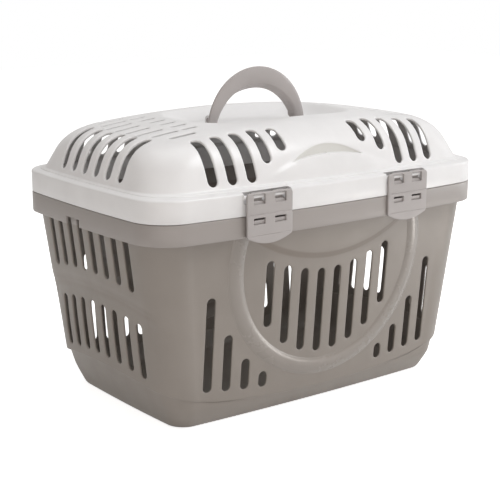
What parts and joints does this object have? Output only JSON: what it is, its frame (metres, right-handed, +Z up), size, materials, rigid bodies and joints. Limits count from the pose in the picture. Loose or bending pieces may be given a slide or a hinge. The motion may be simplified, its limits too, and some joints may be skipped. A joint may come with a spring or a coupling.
{
  "type": "pet carrier",
  "caption": "Two-part plastic carrier for a small pet: slotted tub, domed hinged lid with clip latches and a folding carry handle.",
  "frame": {"origin": "middle of the underside, on the surface that the carrier stands on", "axes": "+X along the long side to the right as seen from the latches, +Y to the hinge side at the back, +Z up"},
  "size_m": [0.48, 0.3124, 0.3748],
  "materials": {
    "tub": "taupe grey injection-moulded polypropylene, fine satin texture",
    "lid": "warm white injection-moulded polypropylene, satin",
    "fittings": "taupe grey injection-moulded plastic, slightly smoother than the tub"
  },
  "bodies": {
    "tub": {"tub": "tub", "hinge_left": "fittings", "hinge_right": "fittings"},
    "lid": {"lid": "lid"},
    "handle": {"handle": "fittings"},
    "latch_left": {"latch_left": "fittings"},
    "latch_right": {"latch_right": "fittings"}
  },
  "joints": [
    {"name": "lid_hinge", "type": "hinge", "parent": "tub", "child": "lid", "pos_m": [0, 0.1512, 0.2567], "axis": [-1, 0, 0], "range_deg": [0, 105]},
    {"name": "handle_fold", "type": "hinge", "parent": "lid", "child": "handle", "pos_m": [0, 0.0045, 0.316], "axis": [-1, 0, 0], "range_deg": [0, 90]},
    {"name": "latch_left_swing", "type": "hinge", "parent": "lid", "child": "latch_left", "pos_m": [-0.0995, -0.1512, 0.2567], "axis": [-1, 0, 0], "range_deg": [0, 110]},
    {"name": "latch_right_swing", "type": "hinge", "parent": "lid", "child": "latch_right", "pos_m": [0.0995, -0.1512, 0.2567], "axis": [-1, 0, 0], "range_deg": [0, 110]}
  ]
}
